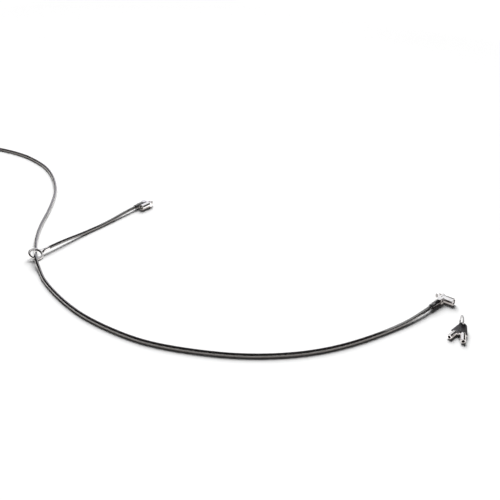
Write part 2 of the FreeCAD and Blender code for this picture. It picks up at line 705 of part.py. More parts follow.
def make_eye(where):
    """The eye at the cable's far end, and the sleeve crimped over both of its legs."""
    radius = v["eye_radius"]
    side = v["sleeve_offset"]
    centre = math.sqrt((2 * radius) ** 2 - (radius + side) ** 2)
    swing = math.asin(centre / (2 * radius))

    def on_arc(x, y, angle):
        return Vector(x + radius * math.cos(angle), y + radius * math.sin(angle), 0)

    quarter = math.pi / 2
    leg = [on_arc(0, side + radius, -quarter + swing * k / 2) for k in (0, 1, 2)]
    sweep = 2 * swing + math.pi
    first = quarter + swing
    loop = [on_arc(centre, 0, first - sweep * k / 6) for k in range(7)]
    back = [Vector(p.x, -p.y, 0) for p in reversed(leg)]
    tail = Vector(v["sleeve_blind"] - v["sleeve_length"], -side, 0)
    edges = [Part.Arc(*leg).toShape()]
    edges += [Part.Arc(loop[k], loop[k + 1], loop[k + 2]).toShape() for k in (0, 2, 4)]
    edges += [Part.Arc(*back).toShape(), Part.LineSegment(back[-1], tail).toShape()]
    path = Part.Wire(edges)
    shape = pipe(path, v["cable_radius"])
    report_tube("end_eye", shape, path, [radius])
    keep("end_eye", feature("eye_loop", shape), where)
    bore = s["cable_radius"] + s["seat_gap"]
    outside = s["cable_radius"] + s["sleeve_wall"]
    start = -s["sleeve_length"]
    offset = s["sleeve_offset"]
    middle = block("sleeve_middle", (start, -offset, -outside), (0, offset, outside))
    sides = [rod(f"sleeve_side_{name}", outside, start, 0, y)
             for name, y in (("left", offset), ("right", -offset))]
    solid = fused("sleeve_solid", middle, *sides)
    through = rod("sleeve_bore_left", bore, start - 1, 1, offset)
    blind = rod("sleeve_bore_right", bore, start + s["sleeve_blind"], 1, -offset)
    keep("eye_sleeve", drilled("sleeve_bored", solid, [through, blind]), where)
    return path.Length


def make_key(tag, where):
    """A tubular key along X: the bow's round end at 0, the tube's mouth at the key's length."""
    half_width = s["bow_width"] / 2
    half = s["bow_thick"] / 2
    plate_start = s["bow_length"] - s["shoulder_thick"]
    slab = fused(f"{tag}_slab",
                 block(f"{tag}_bow_block", (half_width, -half_width, -half), (plate_start, half_width, half)),
                 post(f"{tag}_bow_end", half_width, -half, half, half_width, 0))
    hole_at = s["bow_strip"] + s["bow_hole"]
    panel_half = s["panel_width"] / 2
    holes = [post(f"{tag}_bow_hole", s["bow_hole"], -half - 1, half + 1, hole_at),
             block(f"{tag}_tang_slot", (s["tang_start"] - 0.05, -s["tang_width"] / 2 - s["seat_gap"],
                                        -s["tang_thick"] / 2 - s["seat_gap"]),
                   (plate_start + 1, s["tang_width"] / 2 + s["seat_gap"],
                    s["tang_thick"] / 2 + s["seat_gap"]))]
    for face, low in (("top", half - s["panel_depth"]), ("under", -half - 1)):
        high = low + s["panel_depth"] + 1 if face == "under" else half + 1
        holes.append(block(f"{tag}_panel_{face}", (s["panel_start"], -panel_half, low),
                           (s["panel_end"], panel_half, high)))
        for end in ("panel_start", "panel_end"):
            holes.append(post(f"{tag}_{end}_{face}", panel_half, low, high, s[end]))
    keep(f"{tag}_bow", drilled(f"{tag}_bow_cut", slab, holes), where)
    outer = s["tube_radius"]
    length = s["key_length"]
    tube = turned(f"{tag}_tube", [
        (plate_start, 0), (plate_start, outer - 0.4), (s["bow_length"], outer),
        (length - s["fine_edge"], outer), (length, outer - s["fine_edge"]), (length, s["tube_bore"]),
        (length - s["tube_depth"], s["tube_bore"]), (length - s["tube_depth"], 0)])
    lug_half = s["lug_side"] / 2
    shoulder = block(f"{tag}_shoulder", (plate_start, -half_width, -half),
                     (s["bow_length"], half_width, half))
    tang = block(f"{tag}_tang", (s["tang_start"], -s["tang_width"] / 2, -s["tang_thick"] / 2),
                 (s["bow_length"], s["tang_width"] / 2, s["tang_thick"] / 2))
    lug = block(f"{tag}_lug", (length - s["lug_back"], -lug_half, s["tube_bore"] - 0.5),
                (length - s["lug_front"], lug_half, outer - 0.5))
    keep(f"{tag}_shank", fused(f"{tag}_shank_solid", tube, shoulder, tang, lug), where)


def make_split_ring(where):
    start = 136.0
    turns = 1.9
    path = winding(v["split_radius"], v["split_pitch"], start, turns)
    shape = pipe(path, v["split_wire"])
    gap = least_gap(path, v["split_wire"], 20.0)
    print(f"split_ring: length {path.Length:.1f} mm, least gap between its turns {gap:.2f} mm")
    keep("split_ring", feature("split_coil", shape), where)


# Laptop head at the origin, with its cable leaving square to the barrel
laptop_end = make_head("laptop", Vector(0, 0, 0), 0.0, 0.0)

# Dock head, with its cable end folded back beside the barrel
dock_nose = Vector(-558.9, -49.9, 0)
dock_azimuth = -84.5
dock_end = make_head("dock", dock_nose, dock_azimuth, 90.0)

# Ring on the cable, lying with one side raised by the cable under it
ring_azimuth = 97.0
ring_centre = Vector(-538.6, -307.9, floor_z + v["ring_height"])
ring_frame = FreeCAD.Placement(ring_centre, FreeCAD.Rotation(ring_azimuth, 0, v["ring_roll"]))
make_coupling(ring_frame)

# Crimped eye at the far end, its sleeve flat on the floor
sleeve_z = floor_z + v["cable_radius"] + v["sleeve_wall"]
eye_azimuth = -16.0
eye_frame = FreeCAD.Placement(Vector(-906, -222, sleeve_z), FreeCAD.Rotation(Vector(0, 0, 1), eye_azimuth))
eye_length = make_eye(eye_frame)

# Main cable's route over the floor: x, y and the height of its centre above where it lies
main_route = [
    (0, -103, 0), (-23, -181, 0), (-52, -235, 0), (-92, -280, 0), (-137, -314, 0), (-200, -347.5, 0),
    (-250, -363, 0), (-328, -370.5, 0), (-391, -364, 0), (-458, -348, 0), (-498, -330, 0),
    (-522, -319.5, 6.75), (-532.9, -311.9, 6.15), (-550.9, -299.3, 0), (-584.5, -277.5, 0),
    (-628.5, -238.5, 0), (-677, -184, 0), (-733, -131, 0), (-770, -105.5, 0), (-812, -82, 0),
    (-857.5, -64, 0), (-898, -56, 0), (-949, -51.5, 0), (-1005, -59, 0), (-1041, -70, 0),
    (-1067, -97, 0), (-1075, -132, 0), (-1060, -165, 0), (-1022, -187, 0)]
first_run = 28.0
last_run = 62.0
main_points = [laptop_end.multVec(Vector(0, -v["shank_end"], 0)),
               laptop_end.multVec(Vector(0, -v["shank_end"] - first_run, 0))]
main_points += [Vector(x, y, cable_z + lift) for x, y, lift in main_route]
main_points += [eye_frame.multVec(Vector(-last_run, v["sleeve_offset"], 0)),
                eye_frame.multVec(Vector(0, v["sleeve_offset"], 0))]
main_path, main_radii = cable_path(main_points)
main_shape = pipe(main_path, v["cable_radius"])
report_tube("main_cable", main_shape, main_path, main_radii)
print(f"main cable with its eye: {main_path.Length + eye_length:.0f} mm")
keep("main_cable", feature("main_tube", main_shape))

# Tether from the dock head to the ring, nearly straight and lying on the floor between
tether_first = 27.0
tether_floor = [(-555.5, -150.8), (-551.1, -202.7)]
ferrule_rear = ring_frame.multVec(Vector(v["ferrule_end"], 0, 0))
ferrule_lead = ring_frame.multVec(Vector(v["ferrule_end"] + tether_first, 0, 0))
tether_start = dock_end.multVec(Vector(0, -v["shank_end"], 0))
tether_lead = dock_end.multVec(Vector(0, -v["shank_end"] - tether_first, 0))
tether_points = [tether_start, tether_lead]
tether_points += [Vector(x, y, cable_z) for x, y in tether_floor]
tether_points += [ferrule_lead, ferrule_rear]
tether_path, tether_radii = cable_path(tether_points)
tether_shape = pipe(tether_path, v["cable_radius"])
report_tube("tether_cable", tether_shape, tether_path, tether_radii)
keep("tether_cable", feature("tether_tube", tether_shape))

# Split ring standing up and leaning, with the wire through both bows
split_azimuth = -50.0
split_settle = 0.35
split_centre = Vector(60.3, -44.85, floor_z + v["split_wire"] + split_settle
                      + v["split_radius"] * math.cos(math.radians(v["split_lean"])))
along_ring = Vector(math.cos(math.radians(split_azimuth)), math.sin(math.radians(split_azimuth)), 0)
beside_ring = Vector(0, 0, 1).cross(along_ring)
lean = math.radians(v["split_lean"])
up_ring = Vector(0, 0, 1) * math.cos(lean) + beside_ring * math.sin(lean)
split_frame = FreeCAD.Placement(split_centre, FreeCAD.Rotation(
    along_ring, up_ring, along_ring.cross(up_ring), "ZXY"))
make_split_ring(split_frame)


def wire_at(height):
    """The point of the split ring's near side that is this high above the floor."""
    rise = (floor_z + height - split_centre.z) / math.cos(lean)
    reach = math.sqrt(v["split_radius"] ** 2 - rise ** 2)
    return split_centre + along_ring * reach + up_ring * rise


def key_frame(height, azimuth, roll, slack):
    """A key whose hole is round the split ring at this height and whose tube rests on the floor."""
    hole = wire_at(height) - along_ring * slack
    span = v["key_length"] - v["bow_strip"] - v["bow_hole"]
    pitch = math.degrees(math.asin((height - v["tube_radius"]) / span))
    turn = FreeCAD.Rotation(azimuth, pitch, roll)
    start = hole - turn.multVec(Vector(v["bow_strip"] + v["bow_hole"], 0, 0))
    return FreeCAD.Placement(start, turn)


make_key("key_one", key_frame(v["tube_radius"], -89.7, 0.0, 1.2))
make_key("key_two", key_frame(7.5, -59.6, -17.0, 0.0))

doc.recompute()
for item in doc.Objects:
    if "Invalid" in item.State or "Error" in item.State:
        raise SystemExit(f"{item.Name} failed: {item.State}")
for node, item in subparts.items():
    if item.Shape.isNull() or not item.Shape.isValid():
        raise SystemExit(f"{node} has no valid shape")
os.makedirs("parts", exist_ok=True)
for node, item in subparts.items():
    item.Shape.exportStep(f"parts/{node}.step")
print(len(subparts), "sub-parts")
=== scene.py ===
import bmesh
import bpy
import json
import math
from mathutils import Matrix, Vector


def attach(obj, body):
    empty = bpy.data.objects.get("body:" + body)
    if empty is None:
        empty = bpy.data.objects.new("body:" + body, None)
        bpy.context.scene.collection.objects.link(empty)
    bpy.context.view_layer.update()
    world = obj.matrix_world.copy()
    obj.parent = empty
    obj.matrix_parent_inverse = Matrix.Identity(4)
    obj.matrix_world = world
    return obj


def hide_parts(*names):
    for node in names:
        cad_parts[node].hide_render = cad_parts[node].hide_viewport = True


# A cable lock for laptops: a smoked steel cable with a swivelling lock head, a ring on the cable that
# carries a second head on a tether, and two tubular keys. The first head's nose is at the origin, with
# +X out of its keyway. Sizes are in millimetres until they become mesh.
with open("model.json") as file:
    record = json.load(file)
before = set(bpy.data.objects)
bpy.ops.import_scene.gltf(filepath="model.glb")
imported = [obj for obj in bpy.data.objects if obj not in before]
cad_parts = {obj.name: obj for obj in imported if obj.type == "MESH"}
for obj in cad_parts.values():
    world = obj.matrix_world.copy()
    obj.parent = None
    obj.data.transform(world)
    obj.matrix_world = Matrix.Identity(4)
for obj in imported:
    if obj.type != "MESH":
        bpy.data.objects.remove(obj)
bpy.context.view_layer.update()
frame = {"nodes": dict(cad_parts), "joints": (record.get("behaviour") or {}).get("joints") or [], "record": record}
joints = {joint["name"]: joint for joint in frame["joints"]}
mm = 0.001
floorHeight = -5.2


def linked(name, data):
    piece = bpy.data.objects.new(name, data)
    bpy.context.scene.collection.objects.link(piece)
    return piece


# view

viewSetup = {"place": (459.6, -912.9, 566.8), "pitch": 63.45, "turn": 42.0, "lens": 57.31, "filmWidth": 36.0,
             "clipStart": 10.0}


def placeCamera():
    data = bpy.data.cameras.new("photoView")
    data.lens = viewSetup["lens"]
    data.sensor_width = viewSetup["filmWidth"]
    data.clip_start = viewSetup["clipStart"] * mm
    camera = linked("photoView", data)
    camera.location = Vector(viewSetup["place"]) * mm
    camera.rotation_euler = (math.radians(viewSetup["pitch"]), 0, math.radians(viewSetup["turn"]))
    bpy.context.scene.camera = camera


placeCamera()
print("camera placed")


# helpers for meshed pieces

meshing = {"turnSteps": 96, "weld": 1e-4, "rimSegments": 3, "rimAngle": 25.0}


def builtMesh(bare):
    # the mesh that a curve or its modifiers make, in place of the object itself
    bpy.context.view_layer.update()
    mesh = bpy.data.meshes.new_from_object(bare.evaluated_get(bpy.context.evaluated_depsgraph_get()))
    bpy.data.objects.remove(bare)
    return mesh


def meshPiece(name, shape):
    mesh = bpy.data.meshes.new(name)
    shape.to_mesh(mesh)
    shape.free()
    return linked(name, mesh)


def placedPiece(name, shape, place):
    # a shape drawn in millimetres, in its place in the scene
    bmesh.ops.transform(shape, matrix=place @ Matrix.Scale(mm, 4), verts=shape.verts)
    return meshPiece(name, shape)


def keepMesh(name, shape, place, body, slot, finish, *replaced):
    return dress(placedPiece(name, shape, place), body, slot, finish, *replaced)


def dress(piece, body, slot, finish, *replaced):
    # finish, smooth shading and the body that the piece moves with
    piece.data.materials.clear()
    piece.data.materials.append(finish)
    piece.data.shade_smooth()
    weighted = piece.modifiers.new("evenNormals", "WEIGHTED_NORMAL")
    weighted.keep_sharp = True
    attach(piece, body)
    if replaced:
        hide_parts(*replaced)
    return piece


def lathe(profile, edge):
    # a closed outline of (along, radius) corners, spun round X, with its rims rounded
    shape = bmesh.new()
    corners = [shape.verts.new((along, radius, 0)) for along, radius in profile]
    lines = [shape.edges.new((a, b)) for a, b in zip(corners, corners[1:])]
    if profile[0][1] > 0:
        lines.append(shape.edges.new((corners[-1], corners[0])))
    bmesh.ops.spin(shape, geom=corners + lines, cent=(0, 0, 0), axis=(1, 0, 0), angle=2 * math.pi,
                   steps=meshing["turnSteps"], use_merge=True)
    bmesh.ops.remove_doubles(shape, verts=shape.verts, dist=meshing["weld"])
    bmesh.ops.recalc_face_normals(shape, faces=shape.faces)
    roundRims(shape, edge)
    return shape


def roundRims(shape, edge, least=meshing["rimAngle"]):
    sharp = [e for e in shape.edges if len(e.link_faces) == 2 and e.calc_face_angle() > math.radians(least)]
    bmesh.ops.bevel(shape, geom=sharp, offset=edge, offset_type="OFFSET", segments=meshing["rimSegments"],
                    profile=0.5, affect="EDGES", material=-1, clamp_overlap=True)


# places of the pieces, from the joints of the frame

def turned(axis, degrees):
    return Matrix.Rotation(math.radians(degrees), 4, axis)


def headPlace(side):
    swivel = joints[side + "_swivel"]
    along = Vector(swivel["axis"])
    return Matrix.Translation(swivel["pos_m"]) @ turned("Z", math.degrees(math.atan2(along.y, along.x)))


def cableEndPlace(side):
    hinge = Matrix.Translation(joints[side + "_hinge"]["pos_m"])
    away = -90.0 if side == "laptop" else math.degrees(math.atan2(tetherRun.y, tetherRun.x))
    return hinge @ turned("Z", away)


# cables

cableSizes = {"radius": 2.75, "rest": floorHeight + 2.75, "ropeRadius": 2.4, "strands": 6, "lay": 33.0,
              "step": 1.6, "wires": 6, "wireLay": 9.0}
routeDetail = {"order": 3, "stepsPerPoint": 12, "jacketBevel": 6, "strandBevel": 1, "weld": 1e-4}
laptopStart = [(6.8, -22, 0), (6.8, -50, 0)]
mainRoute = [
    (0, -103, 0), (-23, -181, 0), (-52, -235, 0), (-92, -280, 0), (-137, -314, 0), (-200, -347.5, 0),
    (-250, -363, 0), (-328, -370.5, 0), (-391, -364, 0), (-458, -348, 0), (-498, -330, 0),
    (-522, -319.5, 6.75), (-532.9, -311.9, 6.15), (-550.9, -299.3, 0), (-584.5, -277.5, 0),
    (-628.5, -238.5, 0), (-677, -184, 0), (-733, -131, 0), (-770, -105.5, 0), (-812, -82, 0),
    (-857.5, -64, 0), (-898, -56, 0), (-949, -51.5, 0), (-1005, -59, 0), (-1041, -70, 0),
    (-1067, -97, 0), (-1075, -132, 0), (-1060, -165, 0), (-1022, -187, 0)]
tetherRoute = [(-567.6, -69.12, 0), (-565.01, -96.0, 0), (-555.5, -150.8, -2.45),
               (-551.1, -202.7, -2.45), (-545.18, -254.3, 1.5), (-541.89, -281.1, 1.5)]
tetherRun = Vector(tetherRoute[1]) - Vector(tetherRoute[0])
eyeSizes = {"place": (-906, -222, -1.15), "turn": -16.0, "radius": 27.5, "offset": 2.95, "sleeveRun": 62.0,
            "blindEnd": 17.0, "loopCorners": 8, "legCorners": 2}
eyePlace = Matrix.Translation(Vector(eyeSizes["place"]) * mm) @ turned("Z", eyeSizes["turn"])


def eyeRoute():
    # corners of the polygon round the eye, from the straight run in the sleeve out and back
    radius = eyeSizes["radius"]
    side = eyeSizes["offset"]
    centre = math.sqrt((2 * radius) ** 2 - (radius + side) ** 2)
    swing = math.asin(centre / (2 * radius))
    legStep = swing / eyeSizes["legCorners"]
    legReach = radius / math.cos(legStep / 2)
    leg = []
    for number in range(eyeSizes["legCorners"]):
        angle = -math.pi / 2 + legStep * (number + 0.5)
        leg.append((legReach * math.cos(angle), side + radius + legReach * math.sin(angle)))
    sweep = 2 * swing + math.pi
    loopStep = sweep / eyeSizes["loopCorners"]
    loopReach = radius / math.cos(loopStep / 2)
    loop = []
    for number in range(eyeSizes["loopCorners"]):
        angle = math.pi / 2 + swing - loopStep * (number + 0.5)
        loop.append((centre + loopReach * math.cos(angle), loopReach * math.sin(angle)))
    straight = leg[0][0]
    out = [(-eyeSizes["sleeveRun"], side), (-straight, side)] + leg
    back = [(x, -y) for x, y in reversed(leg)] + [(-straight, -side), (-eyeSizes["blindEnd"], -side)]
    return [tuple(eyePlace @ (Vector((x, y, 0)) * mm)) for x, y in out + loop + back]


def routeCurve(name, points, radius=0.0):
    data = bpy.data.curves.new(name, "CURVE")
    data.dimensions = "3D"
    data.resolution_u = routeDetail["stepsPerPoint"]
    spline = data.splines.new("NURBS")
    spline.points.add(len(points) - 1)
    for spot, point in zip(spline.points, points):
        spot.co = (*point, 1.0)
    spline.order_u = routeDetail["order"]
    spline.use_endpoint_u = True
    data.bevel_depth = radius
    data.bevel_resolution = routeDetail["jacketBevel"]
    data.use_fill_caps = True
    return linked(name, data)


def asMesh(curve):
    # the same piece as a closed mesh
    name = curve.name
    mesh = builtMesh(curve)
    shape = bmesh.new()
    shape.from_mesh(mesh)
    bmesh.ops.remove_doubles(shape, verts=shape.verts, dist=routeDetail["weld"] * mm)
    bmesh.ops.recalc_face_normals(shape, faces=shape.faces)
    shape.to_mesh(mesh)
    shape.free()
    return linked(name, mesh)


def centreLine(points):
    # evenly spaced points along the route's own spline
    mesh = builtMesh(routeCurve("bareRoute", points))
    line = [vertex.co.copy() for vertex in mesh.vertices]
    bpy.data.meshes.remove(mesh)
    reach = [0.0]
    for before, after in zip(line, line[1:]):
        reach.append(reach[-1] + (after - before).length)
    count = round(reach[-1] / (cableSizes["step"] * mm))
    even = []
    segment = 0
    for number in range(count + 1):
        wanted = reach[-1] * number / count
        while segment < len(line) - 2 and reach[segment + 1] < wanted:
            segment += 1
        share = (wanted - reach[segment]) / (reach[segment + 1] - reach[segment])
        even.append(line[segment].lerp(line[segment + 1], share))
    return even, reach[-1]


def ropeStrands(name, line):
    # strands laid round the cable's own line
    strandRadius = cableSizes["ropeRadius"] / 3 * mm
    data = bpy.data.curves.new(name, "CURVE")
    data.dimensions = "3D"
    data.bevel_depth = strandRadius
    data.bevel_resolution = routeDetail["strandBevel"]
    data.use_fill_caps = True
    splines = []
    for number in range(cableSizes["strands"]):
        spline = data.splines.new("POLY")
        spline.points.add(len(line) - 1)
        splines.append(spline)
    up = Vector((0, 0, 1))
    gone = 0.0
    for index, spot in enumerate(line):
        ahead = line[min(index + 1, len(line) - 1)] - line[max(index - 1, 0)]
        across = up.cross(ahead).normalized()
        lift = ahead.cross(across).normalized()
        if index:
            gone += (spot - line[index - 1]).length
        for number, spline in enumerate(splines):
            angle = 2 * math.pi * (number / len(splines) + gone / (cableSizes["lay"] * mm))
            offset = across * math.cos(angle) + lift * math.sin(angle)
            spline.points[index].co = (*(spot + offset * strandRadius * 2), 1.0)
    return asMesh(linked(name, data))


def inMetres(points):
    return [tuple(Vector(point) * mm) for point in points]


floorRun = [(x, y, cableSizes["rest"] + lift) for x, y, lift in mainRoute]
mainPoints = inMetres(laptopStart + floorRun) + eyeRoute()
tetherPoints = inMetres(tetherRoute)
mainLine, mainLength = centreLine(mainPoints)
tetherLine, tetherLength = centreLine(tetherPoints)
mainCable = asMesh(routeCurve("mainCableJacket", mainPoints, cableSizes["radius"] * mm))
mainRope = ropeStrands("mainCableRope", mainLine)
tetherCable = asMesh(routeCurve("tetherJacket", tetherPoints, cableSizes["radius"] * mm))
tetherRope = ropeStrands("tetherRope", tetherLine)
print("cables laid", round(mainLength, 4), round(tetherLength, 4))


# finishes

def newFinish(name, metallic=0.0, **uniform):
    material = bpy.data.materials.new(name)
    material.use_nodes = True
    shader = material.node_tree.nodes["Principled BSDF"]
    shader.inputs["Metallic"].default_value = metallic
    for socket, value in uniform.items():
        shader.inputs[socket].default_value = value
    return material, material.node_tree, shader


def addNode(tree, kind, inputs=(), **settings):
    node = tree.nodes.new(kind)
    for name, value in settings.items():
        setattr(node, name, value)
    for socket, value in inputs:
        if isinstance(value, bpy.types.NodeSocket):
            tree.links.new(value, node.inputs[socket])
        else:
            node.inputs[socket].default_value = value
    return node


def objectPlace(tree, stretch=(1, 1, 1), turn=0.0):
    place = addNode(tree, "ShaderNodeTexCoord")
    return addNode(tree, "ShaderNodeMapping", [("Vector", place.outputs["Object"]), ("Scale", stretch),
                                               ("Rotation", (0, 0, math.radians(turn)))]).outputs["Vector"]


def cloudy(tree, place, size, detail=3.0):
    # soft patches of about this size in millimetres
    return addNode(tree, "ShaderNodeTexNoise", [("Vector", place), ("Scale", 1 / (size * mm)),
                                                ("Detail", detail)]).outputs["Fac"]


def between(tree, value, low, high, start=0.35, end=0.65):
    return addNode(tree, "ShaderNodeMapRange", [("Value", value), ("From Min", start), ("From Max", end),
                                                ("To Min", low), ("To Max", high)]).outputs["Result"]


def tinted(tree, value, dark, light):
    blend = addNode(tree, "ShaderNodeMix", [("Factor", value)], data_type="RGBA")
    blend.inputs[6].default_value = (*dark, 1)
    blend.inputs[7].default_value = (*light, 1)
    return blend.outputs[2]


def dented(tree, shader, height, depth):
    bump = addNode(tree, "ShaderNodeBump", [("Height", height), ("Distance", depth * mm)])
    tree.links.new(bump.outputs["Normal"], shader.inputs["Normal"])


def cloudyFinish(name, look, paintedShadeBy=None):
    # colour and gloss in soft patches, with a fine surface grain, and painted shade, a dark colour, where an
    # attribute says so
    material, tree, shader = newFinish(name, look["metallic"], **look.get("uniform", {}))
    place = objectPlace(tree)
    patches = cloudy(tree, place, look["patch"])
    grainPlace = objectPlace(tree, look.get("stretch", (1, 1, 1)), look.get("turn", 0.0))
    grain = cloudy(tree, grainPlace, look["grain"], detail=5.0)
    colour = tinted(tree, between(tree, patches, 0, 1), look["dark"], look["light"])
    if paintedShadeBy:
        # painted shade: the colour goes dark where the attribute marks a recess that light hardly reaches
        inside = addNode(tree, "ShaderNodeAttribute", attribute_name=paintedShadeBy).outputs["Fac"]
        shaded = addNode(tree, "ShaderNodeMix", [("Factor", inside)], data_type="RGBA")
        tree.links.new(colour, shaded.inputs[6])
        shaded.inputs[7].default_value = (*boreShadeColour, 1)
        colour = shaded.outputs[2]
    tree.links.new(colour, shader.inputs["Base Color"])
    both = addNode(tree, "ShaderNodeMath", [(0, patches), (1, grain)], operation="ADD").outputs[0]
    tree.links.new(between(tree, both, *look["roughness"], start=0.75, end=1.25), shader.inputs["Roughness"])
    dented(tree, shader, grain, look["depth"])
    return material


# painted shade for the inside of the key tubes
boreShadeColour = (0.012, 0.01, 0.01)
finishLooks = {
    "polishedChrome": {"metallic": 1.0, "dark": (0.76, 0.75, 0.76), "light": (0.88, 0.87, 0.88),
                       "patch": 5.0, "grain": 0.5, "stretch": (1, 6, 6), "turn": 35.0,
                       "roughness": (0.04, 0.12), "depth": 0.0015},
    "machinedSteel": {"metallic": 1.0, "dark": (0.46, 0.45, 0.44), "light": (0.62, 0.61, 0.6),
                      "patch": 2.0, "grain": 0.25, "stretch": (1, 8, 8), "turn": 5.0,
                      "roughness": (0.2, 0.4), "depth": 0.006},
    "turnedBrass": {"metallic": 1.0, "dark": (0.6, 0.44, 0.2), "light": (0.8, 0.63, 0.34),
                    "patch": 1.5, "grain": 0.2, "stretch": (1, 6, 6), "turn": 5.0,
                    "roughness": (0.16, 0.34), "depth": 0.005},
    "springSteel": {"metallic": 1.0, "dark": (0.54, 0.54, 0.55), "light": (0.72, 0.72, 0.73), "patch": 1.2,
                    "grain": 0.3, "roughness": (0.08, 0.2), "depth": 0.004},
    "bootBlack": {"metallic": 0.0, "dark": (0.009, 0.009, 0.01), "light": (0.018, 0.017, 0.019), "patch": 4.0,
                  "grain": 0.6, "roughness": (0.12, 0.24), "depth": 0.008,
                  "uniform": {"IOR": 1.7, "Coat Weight": 1.0, "Coat IOR": 1.8, "Coat Roughness": 0.06}},
    "keyPlastic": {"metallic": 0.0, "dark": (0.04, 0.038, 0.042), "light": (0.07, 0.068, 0.074), "patch": 3.0,
                   "grain": 0.22, "roughness": (0.3, 0.45), "depth": 0.02},
    "crimpedAluminium": {"metallic": 1.0, "dark": (0.6, 0.6, 0.61), "light": (0.8, 0.8, 0.81),
                         "patch": 2.0, "grain": 0.4, "stretch": (1, 6, 6), "turn": 16.0,
                         "roughness": (0.26, 0.46), "depth": 0.015}}
chrome, steel, brass, springSteel, bootBlack, keyPlastic, aluminium = [
    cloudyFinish(name, look) for name, look in finishLooks.items()]
chromeWithShadedBore = cloudyFinish("chromeWithShadedBore", finishLooks["polishedChrome"], "boreShadeMask")


jacketLook = {"wave": 9.0, "skin": 1.2, "skinDetail": 4.0, "dark": (0.006, 0.006, 0.008),
              "light": (0.013, 0.012, 0.016), "roughness": (0.05, 0.13), "depth": 0.012,
              "uniform": {"IOR": 2.0, "Alpha": 0.8, "Coat Weight": 1.0, "Coat Roughness": 0.05,
                          "Coat IOR": 2.1}}
wireLook = {"oilPatch": 6.0, "ridge": (-0.9, 0.2), "dark": (0.42, 0.4, 0.38), "light": (0.88, 0.86, 0.84),
            "roughness": (0.16, 0.32), "depth": 0.03}


def smokedJacket():
    # clear dark vinyl, slightly uneven along its length
    look = jacketLook
    material, tree, shader = newFinish("smokedJacket", **look["uniform"])
    place = objectPlace(tree)
    waves = cloudy(tree, place, look["wave"])
    skin = cloudy(tree, place, look["skin"], look["skinDetail"])
    colour = tinted(tree, between(tree, waves, 0, 1), look["dark"], look["light"])
    tree.links.new(colour, shader.inputs["Base Color"])
    tree.links.new(between(tree, skin, *look["roughness"]), shader.inputs["Roughness"])
    dented(tree, shader, skin, look["depth"])
    return material


def strandWires(length):
    # wires twisted in each strand, on the strand's own map: along it and round it, with painted shade in the
    # grooves between the wires
    look = wireLook
    material, tree, shader = newFinish("strandWires", 1.0)
    place = addNode(tree, "ShaderNodeTexCoord").outputs["UV"]
    parts = addNode(tree, "ShaderNodeSeparateXYZ", [("Vector", place)])
    turns = length / (cableSizes["wireLay"] * mm)
    along = addNode(tree, "ShaderNodeMath", [(0, parts.outputs["X"]), (1, turns)], operation="MULTIPLY")
    around = addNode(tree, "ShaderNodeMath", [(0, parts.outputs["Y"]), (1, float(cableSizes["wires"])),
                                              (2, along.outputs[0])], operation="MULTIPLY_ADD")
    phase = addNode(tree, "ShaderNodeMath", [(0, around.outputs[0]), (1, 2 * math.pi)], operation="MULTIPLY")
    ridge = addNode(tree, "ShaderNodeMath", [(0, phase.outputs[0])], operation="COSINE").outputs[0]
    oily = cloudy(tree, objectPlace(tree), look["oilPatch"])
    # painted shade: the colour goes dark in the grooves between the wires
    colour = tinted(tree, between(tree, ridge, 0, 1, *look["ridge"]), look["dark"], look["light"])
    tree.links.new(colour, shader.inputs["Base Color"])
    tree.links.new(between(tree, oily, *look["roughness"]), shader.inputs["Roughness"])
    dented(tree, shader, ridge, look["depth"])
    return material


jacket = smokedJacket()
finishes = {"polished_chrome": chrome, "inner_steel": steel, "pin_brass": brass, "spring_steel": springSteel,
            "crimp_aluminium": aluminium, "boot_black": bootBlack, "key_plastic": keyPlastic,
            "cable_jacket": jacket}
for subpart in frame["record"]["subparts"]:
    node = frame["nodes"][subpart["node"]]
    node.data.materials.clear()
    node.data.materials.append(finishes[subpart["material_slot"]])
dress(mainCable, "main_cable", "cable_jacket", jacket, "main_cable", "end_eye")
dress(mainRope, "main_cable", "cable_jacket", strandWires(mainLength))
dress(tetherCable, "tether", "cable_jacket", jacket, "tether_cable")
dress(tetherRope, "tether", "cable_jacket", strandWires(tetherLength))
print("finishes mixed")


# lock heads

barrelSizes = {"hub": 3.9, "hubStart": 2.4, "fatStart": 6.7, "end": 24.0, "radius": 5.2, "chamber": 4.2,
               "chamberStart": 8.4, "shaftBore": 1.55, "rim": 0.4}
sleeveSizes = {"start": 17.65, "end": 24.0, "bore": 3.6, "radius": 4.17, "rim": 0.12}
bootSizes = {"start": 4.5, "bore": 3.53, "shankEnd": 11.5, "cableBore": 2.78, "end": 22.4, "radius": 4.4,
             "taper": 14.0, "taperSteps": 6, "waist": 3.55, "bead": 3.95, "beadLength": 1.5, "beadRise": 0.15,
             "rim": 0.3}
joinedSizes = {"weld": 1e-3, "flatAngle": 0.5, "rimAngle": 30.0, "collarRim": 0.25}


def barrelShell():
    b = barrelSizes
    return lathe([(b["hubStart"], b["shaftBore"]), (b["hubStart"], b["hub"]), (b["fatStart"], b["hub"]),
                  (b["fatStart"], b["radius"]), (b["end"], b["radius"]), (b["end"], b["chamber"]),
                  (b["chamberStart"], b["chamber"]), (b["chamberStart"], b["shaftBore"])], b["rim"])


def keywaySleeve():
    k = sleeveSizes
    return lathe([(k["start"], k["bore"]), (k["start"], k["radius"]), (k["end"], k["radius"]),
                  (k["end"], k["bore"])], k["rim"])


def cableBoot():
    b = bootSizes
    outline = [(b["start"], b["bore"]), (b["start"], b["radius"])]
    beadStart = b["end"] - b["beadLength"]
    for number in range(b["taperSteps"] + 1):
        share = number / b["taperSteps"]
        fall = (1 - math.cos(math.pi * share)) / 2
        outline.append((b["taper"] + (beadStart - b["taper"]) * share,
                        b["radius"] + (b["waist"] - b["radius"]) * fall))
    outline += [(beadStart + b["beadRise"], b["bead"]), (b["end"], b["bead"]), (b["end"], b["cableBore"]),
                (b["shankEnd"], b["cableBore"]), (b["shankEnd"], b["bore"])]
    return lathe(outline, b["rim"])


